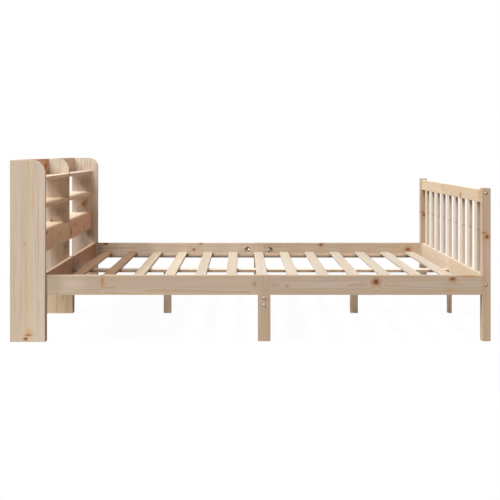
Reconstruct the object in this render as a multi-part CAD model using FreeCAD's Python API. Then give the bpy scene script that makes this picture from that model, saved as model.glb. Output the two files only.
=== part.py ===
import FreeCAD, Part
import math
import os

# Pine bed frame with a bookcase headboard.
# Millimetres. X runs from the headboard to the footboard, Y across the bed, Z up.
# The origin is on the floor, in the middle of the whole bed.
# Left is -Y and right is +Y, as seen from the foot of the bed.

# The space for the mattress
inner_length = 2053.0
inner_width = 1605.0

# Side rails and middle legs
rail_top = 308.0
rail_height = 92.0
rail_thickness = 25.0
mid_leg_width = 59.0

# Bookcase headboard
headboard_height = 845.0
panel_depth = 165.0
panel_thickness = 20.0
panel_corner_radius = 60.0
shelf_thickness = 18.0
shelf_setback = 36.0
back_board_height = 82.0
low_shelf_rise = 191.0
apron_height = 99.0
apron_thickness = 18.0
back_board_thickness = 18.0
head_rail_thickness = 20.0
head_rail_setback = 12.0
head_leg_depth = 43.0
head_leg_rise = 10.0
middle_cleat_thickness = 18.0

# Slats and what carries them
slat_count = 13
slat_width = 56.0
slat_first_gap = 37.5
slat_thickness = 12.0
slat_end_gap = 3.0
ledge_width = 22.0
ledge_height = 16.0
ledge_rise = 8.0
ledge_end_gap = 6.0
beam_width = 66.0
beam_thickness = 16.0
beam_end_gap = 3.0
bearer_depth = 25.0
bearer_height = 22.0
crossbar_height = 80.0
crossbar_thickness = 22.0
centre_leg_size = 40.0

# Footboard
post_size = 40.0
post_height = 714.0
foot_rail_thickness = 20.0
foot_rail_setback = 12.0
top_rail_height = 60.0
top_rail_drop = 9.0
top_rail_bolt_drop = 15.0
baluster_count = 9
baluster_width = 56.0
baluster_thickness = 16.0
tenon_length = 8.0
tenon_shoulder = 2.0
foot_leg_width = 40.0

# The boards' edges
edge_ease = 1.5
slat_round = 3.0
top_round = 3.0

# Countersunk screws through the side panels
screw_head_radius = 4.5
screw_head_depth = 3.5
screw_radius = 2.2
screw_length = 60.0
screw_back_inset = 33.0
screw_front_inset = 31.0
apron_screw_drop = 41.0
apron_screw_spacing = 35.0

# Wooden dowels
dowel_radius = 4.0
dowel_depth = 16.0
head_rail_dowel_spacing = 24.0

# Bolts through the posts and legs into the ends of the rails
bolt_head_radius = 6.5
bolt_head_height = 6.0
bolt_radius = 3.5
bolt_length = 84.0
bolt_recess_radius = 8.0
bolt_recess_depth = 8.0
bolt_socket_radius = 3.0
bolt_socket_depth = 3.5
side_bolt_spacing = 50.0

# Domed bolts that hold the crossbar
dome_radius = 8.5
dome_height = 4.5
dome_bolt_length = 90.0
dome_bolt_spacing = 34.0

# Stud, half-moon washers and nuts at the middle of each side rail
pocket_radius = 17.5
pocket_depth = 20.5
pocket_offset = 40.5
pocket_drop = 43.0
stud_radius = 4.0
stud_end = 2.0
washer_face = 10.0
washer_width = 13.0
nut_flats = 13.0
nut_thickness = 6.5

# Places along the bed
head_x = -(panel_depth - head_rail_setback + inner_length + foot_rail_thickness + foot_rail_setback) / 2
foot_x = -head_x
panel_front_x = head_x + panel_depth
shelf_front_x = panel_front_x - shelf_setback
head_rail_front_x = panel_front_x - head_rail_setback
post_inner_x = foot_x - post_size
foot_rail_outer_x = foot_x - foot_rail_setback
foot_rail_inner_x = foot_rail_outer_x - foot_rail_thickness
foot_rail_middle_x = (foot_rail_inner_x + foot_rail_outer_x) / 2
mid_x = (panel_front_x + post_inner_x) / 2

# Places across the bed, from its middle plane
rail_inner_y = inner_width / 2
rail_outer_y = rail_inner_y + rail_thickness
rail_middle_y = rail_inner_y + rail_thickness / 2
panel_outer_y = rail_outer_y + panel_thickness
post_inner_y = rail_outer_y - post_size
divider_y = panel_thickness / 2

# Heights
rail_bottom = rail_top - rail_height
ledge_bottom = rail_bottom + ledge_rise
slat_bottom = ledge_bottom + ledge_height
slat_top = slat_bottom + slat_thickness
beam_bottom = slat_bottom - beam_thickness
low_shelf_top = rail_top + low_shelf_rise
top_shelf_top = headboard_height - back_board_height
middle_shelf_top = (low_shelf_top + top_shelf_top) / 2
apron_bottom = low_shelf_top - apron_height
top_rail_top = post_height - top_rail_drop
top_rail_bottom = top_rail_top - top_rail_height
crossbar_bottom = beam_bottom - crossbar_height
pocket_z = rail_top - pocket_drop

SIDES = {"left": -1, "right": 1}
SHELF_TOPS = {"low": low_shelf_top, "middle": middle_shelf_top, "top": top_shelf_top}
HEX_SIDES = 6
SHANK_SIDES = 8
HEAD_SIDES = 16
RECESS_SIDES = 24
DOME_STEPS = 3
X_AXIS = FreeCAD.Vector(1, 0, 0)
Y_AXIS = FreeCAD.Vector(0, 1, 0)
Z_AXIS = FreeCAD.Vector(0, 0, 1)


def board(x, y, z):
    """A straight board between a low and a high value on each axis."""
    corner = FreeCAD.Vector(min(x), min(y), min(z))
    return Part.makeBox(max(x) - min(x), max(y) - min(y), max(z) - min(z), corner)


def across(side, inner, outer):
    """The two Y values of a piece that lies on one side of the bed."""
    return (side * inner, side * outer)


def centred(middle, size):
    """Low and high value of a size about its middle."""
    return (middle - size / 2, middle + size / 2)


def runs_along(edge, axis):
    """True for a straight edge parallel to an axis."""
    if not isinstance(edge.Curve, Part.Line):
        return False
    return abs(edge.Curve.Direction.dot(axis)) > math.cos(math.radians(1))


def eased(shape, axis):
    """Takes a small flat off the edges of a board that run along its length."""
    return shape.makeChamfer(edge_ease, [edge for edge in shape.Edges if runs_along(edge, axis)])


def rounded_top(shape, axis, radius):
    """Rounds the upper two edges of a board that run along its length."""
    edges = [edge for edge in shape.Edges if runs_along(edge, axis)]
    top = shape.BoundBox.ZMax - radius
    return shape.makeFillet(radius, [edge for edge in edges if edge.BoundBox.ZMin > top])


def placed(shape, position, direction):
    """Turns a shape made along +Z to a direction and moves it to its place."""
    shape.Placement = FreeCAD.Placement(position, FreeCAD.Rotation(Z_AXIS, direction))
    return shape


def ring(radius, height, sides):
    """A regular polygon round the Z axis, whose flats lie at the radius."""
    reach = radius / math.cos(math.pi / sides)
    turns = [math.pi * (2 * corner + 1) / sides for corner in range(sides + 1)]
    return Part.makePolygon([
        FreeCAD.Vector(reach * math.cos(turn), reach * math.sin(turn), height) for turn in turns
    ])


def bar(radius, low, high, sides):
    """A straight bar along Z with few sides, for small and hidden round pieces."""
    return Part.Face(ring(radius, low, sides)).extrude(Z_AXIS * (high - low))


def stack(profile, sides):
    """A round piece along Z through (radius, height) rings."""
    return Part.makeLoft([ring(radius, height, sides) for radius, height in profile], True, True)


# Fasteners, each made with its seat at Z zero, its head above and its shank below


def countersunk_screw():
    """A flat-headed wood screw, whose head ends flush at Z zero."""
    profile = [(screw_head_radius, 0), (screw_radius, -screw_head_depth), (screw_radius, -screw_length)]
    return stack(profile, SHANK_SIDES)


def cap_bolt():
    """A bolt with a straight round head and a hexagon socket."""
    head = bar(bolt_head_radius, 0, bolt_head_height, HEAD_SIDES)
    shank = bar(bolt_radius, -bolt_length, 0, SHANK_SIDES)
    socket = bar(bolt_socket_radius, bolt_head_height - bolt_socket_depth, bolt_head_height, HEX_SIDES)
    return head.fuse(shank).cut(socket)


def domed_bolt():
    """A bolt with a low domed head that stands on the wood."""
    turns = [math.pi / 2 * step / DOME_STEPS for step in range(DOME_STEPS)]
    dome = stack([(dome_radius * math.cos(turn), dome_height * math.sin(turn)) for turn in turns], HEAD_SIDES)
    return dome.fuse(bar(bolt_radius, -dome_bolt_length, 0, SHANK_SIDES))


def half_moon_washer():
    """A round-backed washer that seats in a pocket's wall, its flat face at Z zero."""
    start = FreeCAD.Vector(0, -washer_width / 2, washer_face)
    disc = Part.makeCylinder(pocket_radius, washer_width, start, Y_AXIS)
    reach = 2 * pocket_radius
    return disc.common(board((-reach, reach), (-reach, reach), (-reach, 0)))


def stud_nut():
    """A hexagon nut that sits on a washer's flat face."""
    return bar(nut_flats / 2, 0, nut_thickness, HEX_SIDES)


# Where the fasteners go: the point that the head seats on, and the way out of the wood


def shelf_fixings():
    """X and Z of the fixings in the end of each shelf and apron."""
    spots = []
    for top in SHELF_TOPS.values():
        for x in (head_x + screw_back_inset, shelf_front_x - screw_front_inset):
            spots.append((x, top - shelf_thickness / 2))
    for step in range(2):
        height = low_shelf_top - apron_screw_drop - step * apron_screw_spacing
        spots.append((shelf_front_x - apron_thickness / 2, height))
    return spots


def panel_screw_places():
    """Screws through each side panel into the shelves and the apron."""
    return [
        (FreeCAD.Vector(x, side * panel_outer_y, z), Y_AXIS * side)
        for side in SIDES.values() for x, z in shelf_fixings()
    ]


def side_bolt_heights():
    """Heights of the two bolts in each end of a side rail."""
    middle = rail_bottom + rail_height / 2
    return [middle + step * side_bolt_spacing / 2 for step in (-1, 1)]


def head_bolt_places():
    """Bolts from behind each head leg into the side rail."""
    x = panel_front_x - head_leg_depth
    return [
        (FreeCAD.Vector(x, side * rail_middle_y, z), X_AXIS * -1)
        for side in SIDES.values() for z in side_bolt_heights()
    ]


def post_end_bolt_places():
    """Bolts from the foot end of each post into the side rail, at the bottom of their recesses."""
    x = foot_x - bolt_recess_depth
    return [
        (FreeCAD.Vector(x, side * rail_middle_y, z), X_AXIS)
        for side in SIDES.values() for z in side_bolt_heights()
    ]


def post_side_bolt_places():
    """Bolts from the outside of each post into the footboard's rails, at the bottom of their recesses."""
    heights = (rail_bottom + rail_height / 2, top_rail_top - top_rail_bolt_drop)
    return [
        (FreeCAD.Vector(foot_rail_middle_x, side * (rail_outer_y - bolt_recess_depth), z), Y_AXIS * side)
        for side in SIDES.values() for z in heights
    ]


def dome_bolt_places():
    """Bolts through the middle legs into the ends of the crossbar."""
    middle = crossbar_bottom + crossbar_height / 2
    return [
        (FreeCAD.Vector(mid_x, side * rail_outer_y, middle + step * dome_bolt_spacing / 2), Y_AXIS * side)
        for side in SIDES.values() for step in (-1, 1)
    ]


def pocket_places():
    """Middle of each round pocket in the side rails, and the way from the middle leg."""
    reach = mid_leg_width / 2 + pocket_offset
    return [
        (FreeCAD.Vector(mid_x + end * reach, side * rail_middle_y, pocket_z), X_AXIS * end)
        for side in SIDES.values() for end in (-1, 1)
    ]


def dowel_places():
    """Middle and length of each dowel, all of them across the bed."""
    through = panel_thickness + 2 * dowel_depth
    spots = [(FreeCAD.Vector(x, 0, z), through) for x, z in shelf_fixings()]
    x = head_rail_front_x - head_rail_thickness / 2
    for step in (-1, 1):
        z = rail_bottom + rail_height / 2 + step * head_rail_dowel_spacing / 2
        spots.append((FreeCAD.Vector(x, 0, z), through))
        spots += [(FreeCAD.Vector(x, side * rail_inner_y, z), 2 * dowel_depth) for side in SIDES.values()]
    return spots


# Hardware


def copies(make, places):
    """Copies of one fastener at its places."""
    return [placed(make(), position, direction) for position, direction in places]


def studs():
    """The studs through the middle legs, from pocket to pocket."""
    reach = mid_leg_width / 2 + pocket_offset - stud_end
    places = [(FreeCAD.Vector(mid_x, side * rail_middle_y, pocket_z), X_AXIS) for side in SIDES.values()]
    return [placed(bar(stud_radius, -reach, reach, SHANK_SIDES), *place) for place in places]


def seated_on_stud(make):
    """Washers or nuts at the flat face of each half-moon washer, bored for the stud."""
    places = [(position - direction * washer_face, direction) for position, direction in pocket_places()]
    return [piece.cut(studs()) for piece in copies(make, places)]


def dowels():
    """The wooden dowels."""
    return [
        placed(bar(dowel_radius, -length / 2, length / 2, SHANK_SIDES), position, Y_AXIS)
        for position, length in dowel_places()
    ]


def hardware():
    """Everything of steel, and the wooden dowels, as lists of solids."""
    return {
        "panel_screws": copies(countersunk_screw, panel_screw_places()),
        "foot_rail_bolts": copies(cap_bolt, post_side_bolt_places()),
        "side_rail_bolts": copies(cap_bolt, head_bolt_places() + post_end_bolt_places()),
        "crossbar_bolts": copies(domed_bolt, dome_bolt_places()),
        "mid_leg_studs": studs(),
        "half_moon_washers": seated_on_stud(half_moon_washer),
        "stud_nuts": seated_on_stud(stud_nut),
        "wood_dowels": dowels(),
    }


def recesses():
    """Round recesses over the sunk bolts, and the round pockets in the side rails."""
    cuts = []
    for position, direction in post_side_bolt_places() + post_end_bolt_places():
        cuts.append(placed(bar(bolt_recess_radius, 0, bolt_recess_depth, RECESS_SIDES), position, direction))
    for position, direction in pocket_places():
        way_in = Y_AXIS * math.copysign(1, position.y)
        mouth = FreeCAD.Vector(position.x, way_in.y * rail_inner_y, position.z)
        cuts.append(Part.makeCylinder(pocket_radius, pocket_depth, mouth, way_in))
    return cuts


def drilled(shape, tools):
    """A board with a hole for each fastener and recess that meets it."""
    near = [tool for tool in tools if shape.BoundBox.intersect(tool.BoundBox)]
    near = [tool for tool in near if shape.common(tool).Volume > 0]
    return shape.cut(near) if near else shape


# Headboard


def upright_outline(front_x, foot_front_x, step_z):
    """Side view of an upright: a rounded top front corner, and a foot that may stand forward."""
    radius = panel_corner_radius
    turn = radius * (1 - math.cos(math.pi / 4))
    points = [
        FreeCAD.Vector(head_x, 0, headboard_height), FreeCAD.Vector(head_x, 0, 0),
        FreeCAD.Vector(foot_front_x, 0, 0),
    ]
    if foot_front_x > front_x:
        points += [FreeCAD.Vector(foot_front_x, 0, step_z), FreeCAD.Vector(front_x, 0, step_z)]
    points.append(FreeCAD.Vector(front_x, 0, headboard_height - radius))
    arc_middle = FreeCAD.Vector(front_x - turn, 0, headboard_height - turn)
    arc_end = FreeCAD.Vector(front_x - radius, 0, headboard_height)
    edges = [Part.makeLine(start, end) for start, end in zip(points, points[1:])]
    edges.append(Part.Arc(points[-1], arc_middle, arc_end).toShape())
    edges.append(Part.makeLine(arc_end, points[0]))
    return Part.Face(Part.Wire(edges))


def upright(front_x, foot_front_x, step_z, low_y):
    """An upright board with its outline's edges eased on both faces."""
    body = upright_outline(front_x, foot_front_x, step_z).extrude(FreeCAD.Vector(0, panel_thickness, 0))
    rims = [edge for edge in body.Edges if not runs_along(edge, Y_AXIS)]
    body = body.makeChamfer(edge_ease, [edge for edge in rims if edge.BoundBox.ZMax > edge_ease])
    body.translate(FreeCAD.Vector(0, low_y, 0))
    return body


def head_panels():
    """Two side panels and the divider, all of them standing on the floor."""
    panels = {}
    for name, side in SIDES.items():
        low_y = min(across(side, rail_outer_y, panel_outer_y))
        panels["head_panel_" + name] = upright(panel_front_x, panel_front_x, 0, low_y)
    panels["head_panel_middle"] = upright(shelf_front_x, head_rail_front_x, rail_top, -divider_y)
    return panels


def shelves():
    """Three shelves in each bay; the lowest one stops behind its apron."""
    pieces = {}
    for name, side in SIDES.items():
        y = across(side, divider_y, rail_outer_y)
        for level, top in SHELF_TOPS.items():
            front_x = shelf_front_x - apron_thickness if level == "low" else shelf_front_x
            shelf = board((head_x, front_x), y, (top - shelf_thickness, top))
            pieces["shelf_" + level + "_" + name] = eased(shelf, Y_AXIS)
    return pieces


def headboard_cross_boards():
    """Aprons, back boards and the two halves of the rail at the head of the bed."""
    pieces = {}
    for name, side in SIDES.items():
        bay = across(side, divider_y, rail_outer_y)
        apron = board((shelf_front_x - apron_thickness, shelf_front_x), bay, (apron_bottom, low_shelf_top))
        pieces["apron_" + name] = eased(apron, Y_AXIS)
        back = board((head_x, head_x + back_board_thickness), bay, (top_shelf_top, headboard_height))
        pieces["back_board_" + name] = eased(back, Y_AXIS)
        rail_x = (head_rail_front_x - head_rail_thickness, head_rail_front_x)
        rail = board(rail_x, across(side, divider_y, rail_inner_y), (rail_bottom, rail_top))
        pieces["head_rail_" + name] = eased(rail, Y_AXIS)
    return pieces


def head_legs():
    """A leg inside each side panel, and a cleat on each face of the divider's foot."""
    pieces = {}
    for name, side in SIDES.items():
        leg_x = (panel_front_x - head_leg_depth, panel_front_x)
        leg = board(leg_x, across(side, rail_inner_y, rail_outer_y), (0, rail_top + head_leg_rise))
        pieces["head_leg_" + name] = eased(leg, Z_AXIS)
    cleats = []
    for side in SIDES.values():
        y = across(side, divider_y, divider_y + middle_cleat_thickness)
        cleats.append(eased(board((head_x, head_rail_front_x), y, (0, rail_bottom)), Z_AXIS))
    pieces["head_middle_cleats"] = Part.makeCompound(cleats)
    return pieces


# Sides of the bed


def side_rails():
    """Each side rail in a head half and a foot half, with the middle leg between them."""
    pieces = {}
    leg_x = centred(mid_x, mid_leg_width)
    halves = {"head": (panel_front_x, leg_x[0]), "foot": (leg_x[1], post_inner_x)}
    for name, side in SIDES.items():
        y = across(side, rail_inner_y, rail_outer_y)
        for end, x in halves.items():
            rail = board(x, y, (rail_bottom, rail_top))
            pieces["side_rail_" + name + "_" + end] = rounded_top(rail, X_AXIS, top_round)
        leg = board(leg_x, y, (0, rail_top))
        pieces["mid_leg_" + name] = rounded_top(eased(leg, Z_AXIS), X_AXIS, top_round)
    return pieces


def slat_ledges():
    """The strips on the rails' inner faces that carry the slats' ends."""
    pieces = {}
    z = (ledge_bottom, slat_bottom)
    runs = ((panel_front_x + ledge_end_gap, mid_x), (mid_x, post_inner_x - ledge_end_gap))
    for name, side in SIDES.items():
        y = across(side, rail_inner_y - ledge_width, rail_inner_y)
        strips = [eased(board(run, y, z), X_AXIS) for run in runs]
        pieces["slat_ledges_" + name] = Part.makeCompound(strips)
    return pieces


# Middle of the bed


def centre_supports():
    """A beam in two halves on a crossbar, bearers and legs."""
    pieces = {}
    beam_y = centred(0, beam_width)
    ends = {"head": head_rail_front_x + beam_end_gap, "foot": foot_rail_inner_x - beam_end_gap}
    for end, x in ends.items():
        beam = board((x, mid_x), beam_y, (beam_bottom, slat_bottom))
        pieces["centre_beam_" + end] = eased(beam, X_AXIS)
        leg = board(centred((x + mid_x) / 2, centre_leg_size), centred(0, centre_leg_size), (0, beam_bottom))
        pieces["centre_leg_" + end] = eased(leg, Z_AXIS)
    bearer_z = (beam_bottom - bearer_height, beam_bottom)
    bearer_runs = (
        (head_rail_front_x, head_rail_front_x + bearer_depth),
        (foot_rail_inner_x - bearer_depth, foot_rail_inner_x),
    )
    bearers = [eased(board(x, beam_y, bearer_z), Y_AXIS) for x in bearer_runs]
    pieces["beam_bearers"] = Part.makeCompound(bearers)
    crossbar_x = centred(mid_x, crossbar_thickness)
    crossbar = board(crossbar_x, (-rail_inner_y, rail_inner_y), (crossbar_bottom, beam_bottom))
    pieces["crossbar"] = eased(crossbar, Y_AXIS)
    return pieces


def slats():
    """The slats, evenly spaced between the side panels and the posts."""
    pieces = {}
    reach = rail_inner_y - slat_end_gap
    first_x = panel_front_x + slat_first_gap
    last_x = post_inner_x - slat_first_gap - slat_width
    for number in range(slat_count):
        low_x = first_x + (last_x - first_x) * number / (slat_count - 1)
        x = (low_x, low_x + slat_width)
        slat = board(x, (-reach, reach), (slat_bottom, slat_top))
        pieces["slat_%02d" % (number + 1)] = rounded_top(slat, Y_AXIS, slat_round)
    return pieces


# Footboard


def baluster_places():
    """Y of each baluster, with equal gaps between them and the posts."""
    clear = 2 * post_inner_y
    gap = (clear - baluster_count * baluster_width) / (baluster_count + 1)
    first = gap + baluster_width / 2 - post_inner_y
    return [first + step * (gap + baluster_width) for step in range(baluster_count)]


def baluster(y):
    """A flat baluster with a shouldered tenon at each end."""
    x = centred(foot_rail_middle_x, baluster_thickness)
    body = eased(board(x, centred(y, baluster_width), (rail_top, top_rail_bottom)), Z_AXIS)
    return body.fuse(tenons(y)).removeSplitter()


def tenons(y):
    """Both tenons of a baluster as one bar through its middle."""
    x = centred(foot_rail_middle_x, baluster_thickness - 2 * tenon_shoulder)
    width = baluster_width - 2 * tenon_shoulder
    return board(x, centred(y, width), (rail_top - tenon_length, top_rail_bottom + tenon_length))


def footboard():
    """Two posts, two rails, the balusters between them and a leg under the middle."""
    pieces = {}
    for name, side in SIDES.items():
        post = board((post_inner_x, foot_x), across(side, post_inner_y, rail_outer_y), (0, post_height))
        rims = [edge for edge in post.Edges if edge.BoundBox.ZMax > edge_ease]
        pieces["foot_post_" + name] = post.makeChamfer(edge_ease, rims)
    rail_x = (foot_rail_inner_x, foot_rail_outer_x)
    heights = {"foot_lower_rail": (rail_bottom, rail_top), "foot_top_rail": (top_rail_bottom, top_rail_top)}
    mortises = [tenons(y) for y in baluster_places()]
    for name, z in heights.items():
        rail = rounded_top(board(rail_x, (-post_inner_y, post_inner_y), z), Y_AXIS, top_round)
        pieces[name] = rail.cut(mortises)
    pieces["balusters"] = Part.makeCompound([baluster(y) for y in baluster_places()])
    leg = board(rail_x, centred(0, foot_leg_width), (0, rail_bottom))
    pieces["foot_centre_leg"] = eased(leg, Z_AXIS)
    return pieces


def timber():
    """Every wooden board of the bed, before it is drilled."""
    pieces = {}
    for group in (head_panels, shelves, headboard_cross_boards, head_legs, side_rails, slat_ledges):
        pieces.update(group())
    for group in (centre_supports, slats, footboard):
        pieces.update(group())
    return pieces


def main():
    """Builds every piece and writes one file for each node."""
    os.makedirs("parts", exist_ok=True)
    fasteners = hardware()
    tools = [solid for group in fasteners.values() for solid in group] + recesses()
    pieces = {name: drilled(shape, tools) for name, shape in timber().items()}
    pieces.update({name: Part.makeCompound(group) for name, group in fasteners.items()})
    for name, shape in sorted(pieces.items()):
        shape.exportStep(os.path.join("parts", name + ".step"))
    print("nodes", len(pieces), "solids", sum(len(shape.Solids) for shape in pieces.values()))


main()
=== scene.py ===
import math

import bmesh
import bpy
from mathutils import Matrix, Vector


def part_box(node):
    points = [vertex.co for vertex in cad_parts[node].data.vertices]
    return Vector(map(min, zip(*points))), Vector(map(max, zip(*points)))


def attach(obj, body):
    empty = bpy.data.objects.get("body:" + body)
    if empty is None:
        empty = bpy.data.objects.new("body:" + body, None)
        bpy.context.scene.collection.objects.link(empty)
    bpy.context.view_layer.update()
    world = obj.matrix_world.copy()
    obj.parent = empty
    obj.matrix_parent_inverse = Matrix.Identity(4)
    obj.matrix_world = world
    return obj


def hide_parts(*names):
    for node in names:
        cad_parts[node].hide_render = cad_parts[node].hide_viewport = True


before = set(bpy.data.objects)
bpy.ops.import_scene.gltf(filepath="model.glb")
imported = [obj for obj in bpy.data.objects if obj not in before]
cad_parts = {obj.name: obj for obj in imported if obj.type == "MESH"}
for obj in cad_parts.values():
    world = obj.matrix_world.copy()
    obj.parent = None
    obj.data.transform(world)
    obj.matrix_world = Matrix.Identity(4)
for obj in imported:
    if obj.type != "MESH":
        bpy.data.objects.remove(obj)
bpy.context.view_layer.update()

# Pine bed frame with a bookcase headboard.
# Metres. X runs from the headboard to the footboard, Y across the bed, Z up.
# Left is -Y and right is +Y, as seen from the foot of the bed.

AXES = "XYZ"
SIDES = ("left", "right")
SHELF_LEVELS = ("low", "middle", "top")

# Colours of the wood, in linear light
WHITE = (1.0, 1.0, 1.0)
EARLY_WOOD = (0.85, 0.72, 0.57)
LATE_WOOD = (0.62, 0.43, 0.27)
WARM_WOOD = (1.0, 0.92, 0.80)
KNOT_CORE = (0.24, 0.085, 0.045)
KNOT_RIM = (0.52, 0.26, 0.14)
KNOT_HALO = (0.90, 0.70, 0.53)
SEAM_COLOUR = (0.44, 0.20, 0.10)

# How light and how red the boards of each kind are
TONES = {
    "panel": (0.88, 0.88, 0.92),
    # The middle and far panels are toned darker than the near panel: partly their wood, partly painted
    # shade of the shelf bays
    "middle_panel": (0.74, 0.76, 0.82),
    "cleat": (0.95, 0.92, 0.87),
    "far_panel": (0.78, 0.785, 0.84),
    "shelf": (1.03, 1.03, 1.06),
    "orange_shelf": (0.99, 0.94, 0.90),
    "pale_shelf": (1.07, 1.09, 1.16),
    "apron_left": (1.08, 0.91, 0.75),
    "apron_right": (0.97, 0.66, 0.50),
    "back_board_left": (1.00, 0.68, 0.50),
    "back_board_right": (1.17, 1.09, 1.12),
    # Painted shade: the head rails toned darker and redder, as if shaded by the shelves above
    "head_rail_left": (0.64, 0.42, 0.31),
    "head_rail_right": (0.74, 0.48, 0.34),
    "head_leg": (0.80, 0.72, 0.66),
    "rail_head": (0.69, 0.68, 0.69),
    "rail_foot": (0.64, 0.61, 0.60),
    "far_rail_foot": (0.62, 0.58, 0.54),
    "hidden": (0.66, 0.62, 0.61),
    "beam": (0.93, 1.02, 1.15),
    "leg": (0.65, 0.60, 0.57),
    "centre_leg": (0.73, 0.70, 0.69),
    "foot_leg": (0.54, 0.48, 0.46),
    "post": (0.63, 0.57, 0.52),
    # Painted shade: the first two slats toned darker and browner, as the headboard's shadow
    "first_slat_shadowed": (0.72, 0.54, 0.40),
    "second_slat_shadowed": (0.59, 0.45, 0.32),
    "head_slat": (0.80, 0.82, 0.80),
    "slat": (0.69, 0.74, 0.81),
    "foot_slat": (0.64, 0.68, 0.73),
    "foot_rail": (0.77, 0.76, 0.73),
    "baluster": (0.81, 0.83, 0.88),
}
SHELF_TONES = {"shelf_low_left": "shelf", "shelf_middle_left": "orange_shelf"}
SLAT_TONES = ["first_slat_shadowed", "second_slat_shadowed"] + ["head_slat"] * 2 + ["slat"] * 4 + ["foot_slat"] * 5

# Tints of faces that look another way than a board's broad ones. END_TINT is darker end grain; the others
# are painted light and shade
END_TINT = (0.84, 0.78, 0.70)
# Painted light: the head legs' end faces lighter, as if the sun lit their tops
LEG_TOP_LIGHT = (1.25, 1.55, 1.90)
# Painted shade: the upright panels' and shelves' narrow front and back edges darker and redder, as if out
# of the light
UPRIGHT_EDGE_SHADE = (0.70, 0.58, 0.48)
SHELF_EDGE_SHADE = (0.92, 0.74, 0.64)
# Painted light: the head and foot rails' top faces, and their undersides, lighter as if lit from above
HEAD_RAIL_TOP_LIGHT = (1.55, 2.30, 3.00)
FOOT_RAIL_TOP_LIGHT = (1.12, 1.25, 1.45)
# Painted shade: the centre beam's sides darker, as if shaded by the slats lying on it
BEAM_SIDE_SHADE = (0.60, 0.48, 0.39)
# Painted shadow low on the upright panels' edges, where the side rails shade them, and painted light higher
# up
EDGE_LOW_SHADOW = (0.46, 0.36, 0.29)
EDGE_HIGH_LIGHT = (1.24, 1.40, 1.54)
# Painted shadow on the balusters' edges under the top rail, and on the middle panel's edge between the head
# rails
BALUSTER_TOP_SHADOW = (0.55, 0.46, 0.40)
EDGE_DEEP_SHADE = (0.45, 0.34, 0.28)

# Tints of the soft patches on the wood. Some are stains and colour of the wood, others are painted light
# and shade as marked
ORANGE = (0.96, 0.76, 0.56)
DEEP_ORANGE = (0.94, 0.64, 0.41)
PALE_ORANGE = (0.99, 0.88, 0.76)
BROWN = (0.86, 0.70, 0.56)
OLIVE = (0.78, 0.73, 0.64)
YELLOW = (1.0, 0.98, 0.87)
PINK = (1.0, 0.91, 0.87)
GREY = (0.86, 0.84, 0.80)
# Painted shade: a cool darkening where shelves and panels keep the light off
SLATE_SHADE = (0.76, 0.77, 0.83)
# Darker: painted shade under the apron, at the head rails' middle and at the beam's head end, and a dark
# line at one head rail's joint
DARK = (0.66, 0.58, 0.52)
SLAT_SHADE = (0.50, 0.42, 0.36)
LILAC = (1.02, 1.01, 1.12)
PALE_LILAC = (1.10, 1.10, 1.26)
PEARL = (1.10, 1.09, 1.14)
# Painted highlight along an edge of the middle legs
LEG_EDGE_HIGHLIGHT = (1.14, 1.16, 1.15)
BRIGHT = (1.16, 1.19, 1.22)
# Painted sunlight on the panels' crowns, above the top shelf
PAINTED_SUNLIGHT = (1.24, 1.38, 1.40)
# A brighter painted highlight along the middle legs' other edge
PALE_EDGE_HIGHLIGHT = (1.28, 1.32, 1.38)

# What the wood of a board is like unless something else is said of it:
# figure is how strongly the rings show, streaks are dark lines along the grain, drift is how far
# the log's middle wanders, knottiness is the share of small knots, seam is how dark glue lines are
PLAIN_WOOD = {
    "end_tint": END_TINT, "painted_edge_tint": WHITE, "figure": 0.85, "streaks": 0.35, "drift": 1.0,
    "knottiness": 0.08, "piece_contrast": 0.10, "seam": 0.35,
}
UPRIGHT = {
    "edge": "X", "painted_edge_tint": UPRIGHT_EDGE_SHADE, "figure": 0.55, "streaks": 0.75, "drift": 0.5,
    "knottiness": 0.0, "piece_contrast": 0.05, "seam": 0.15,
}
FAR_UPRIGHT = dict(UPRIGHT, streaks=1.0)
CLEAT = dict(UPRIGHT, streaks=1.0, figure=0.9)
SHELF = {"edge": "X", "painted_edge_tint": SHELF_EDGE_SHADE, "figure": 0.6, "knottiness": 0.0}
APRON = {"figure": 1.0, "streaks": 0.7}
HEAD_RAIL = {"edge": "Z", "painted_edge_tint": HEAD_RAIL_TOP_LIGHT}
SEAMED_HEAD_RAIL = dict(HEAD_RAIL, seam=0.8)
SIDE_RAIL = {"figure": 0.65, "streaks": 0.3, "drift": 0.4, "knottiness": 0.0}
LEG = {"figure": 0.3, "streaks": 0.8, "drift": 0.2, "knottiness": 0.0}
BEAM = {"edge": "Y", "painted_edge_tint": BEAM_SIDE_SHADE}
SLAT = {"figure": 0.6, "knottiness": 0.03, "piece_contrast": 0.05}
FOOT_RAIL = {"edge": "Z", "painted_edge_tint": FOOT_RAIL_TOP_LIGHT, "figure": 0.5, "seam": 0.6}
BALUSTER = {"edge": "Y", "figure": 0.6, "knottiness": 0.0, "seam": 0.0}

# Boards that lie across the headboard, each with a tone under its own name
HEAD_BOARDS = {
    "apron_left": APRON, "apron_right": APRON,
    "back_board_left": PLAIN_WOOD, "back_board_right": PLAIN_WOOD,
    "head_rail_left": SEAMED_HEAD_RAIL, "head_rail_right": HEAD_RAIL,
}

# Each table below names a node, or how the names of a family of nodes begin.

# Places across the board where glued strips meet
STRIPS = {
    "head_panel_left": [-1.081],
    "head_panel_middle": [-1.060],
    "head_panel_right": [-1.062, -1.007],
    "head_middle_cleats": [-1.040],
    "shelf": [-1.058],
    "beam_bearers": [0.0],
}

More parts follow.
